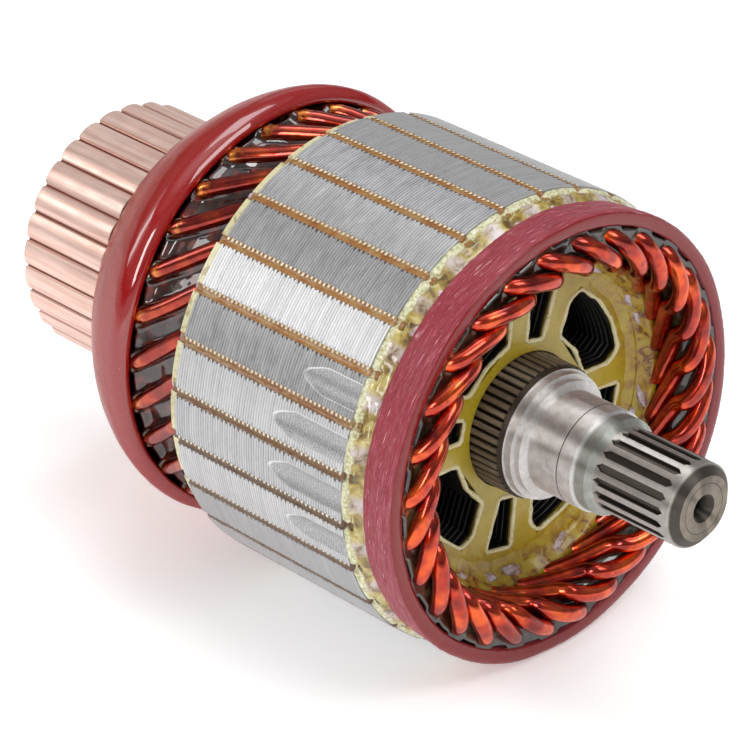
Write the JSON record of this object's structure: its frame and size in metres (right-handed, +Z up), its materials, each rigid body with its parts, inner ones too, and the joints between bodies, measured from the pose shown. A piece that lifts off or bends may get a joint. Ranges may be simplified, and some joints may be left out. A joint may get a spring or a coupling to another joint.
{
  "type": "motor armature",
  "caption": "Wound motor armature with splined shaft, slotted steel core, hairpin winding held by a tape band and a resin ring, and a copper commutator.",
  "frame": {"origin": "on the shaft axis, in the middle of the drive-end bearing seat", "axes": "+X along the shaft towards the splined drive end, +Z up as the armature lies on its core, +Y completes a right-handed frame"},
  "size_m": [0.1487, 0.077, 0.077],
  "materials": {
    "shaft_steel": "ground and dark oiled steel",
    "core_steel": "turned edges of thin sheet steel",
    "olive_insulation": "satin olive-yellow coating",
    "pale_insulation": "pale beige-green laminate",
    "liner_paper": "translucent slot paper",
    "amber_wedge": "amber varnished strip",
    "varnished_sleeve": "dark varnish",
    "glass_tape": "matt pink-red glass tape",
    "red_resin": "thick glossy dark red resin",
    "bar_copper": "polished pale copper",
    "mica": "brown mica",
    "hub_resin": "dark moulding resin",
    "bush_steel": "plain steel tube",
    "enamelled_copper": "glossy orange-red enamel"
  },
  "bodies": {
    "root": {"armature_shaft": "shaft_steel", "commutator_bars": "bar_copper", "commutator_bush": "bush_steel", "commutator_hub": "hub_resin", "commutator_mica": "mica", "front_band": "glass_tape", "front_end_plate": "olive_insulation", "front_layer_sleeve": "varnished_sleeve", "hairpin_01": "enamelled_copper", "hairpin_02": "enamelled_copper", "hairpin_03": "enamelled_copper", "hairpin_04": "enamelled_copper", "hairpin_05": "enamelled_copper", "hairpin_06": "enamelled_copper", "hairpin_07": "enamelled_copper", "hairpin_08": "enamelled_copper", "hairpin_09": "enamelled_copper", "hairpin_10": "enamelled_copper", "hairpin_11": "enamelled_copper", "hairpin_12": "enamelled_copper", "hairpin_13": "enamelled_copper", "hairpin_14": "enamelled_copper", "hairpin_15": "enamelled_copper", "hairpin_16": "enamelled_copper", "hairpin_17": "enamelled_copper", "hairpin_18": "enamelled_copper", "hairpin_19": "enamelled_copper", "hairpin_20": "enamelled_copper", "hairpin_21": "enamelled_copper", "hairpin_22": "enamelled_copper", "hairpin_23": "enamelled_copper", "hairpin_24": "enamelled_copper", "hairpin_25": "enamelled_copper", "hairpin_26": "enamelled_copper", "hairpin_27": "enamelled_copper", "hairpin_28": "enamelled_copper", "lamination_core": "core_steel", "rear_band": "red_resin", "rear_end_plate": "pale_insulation", "rear_layer_sleeve": "varnished_sleeve", "slot_liners": "liner_paper", "slot_wedges": "amber_wedge"}
  },
  "joints": []
}
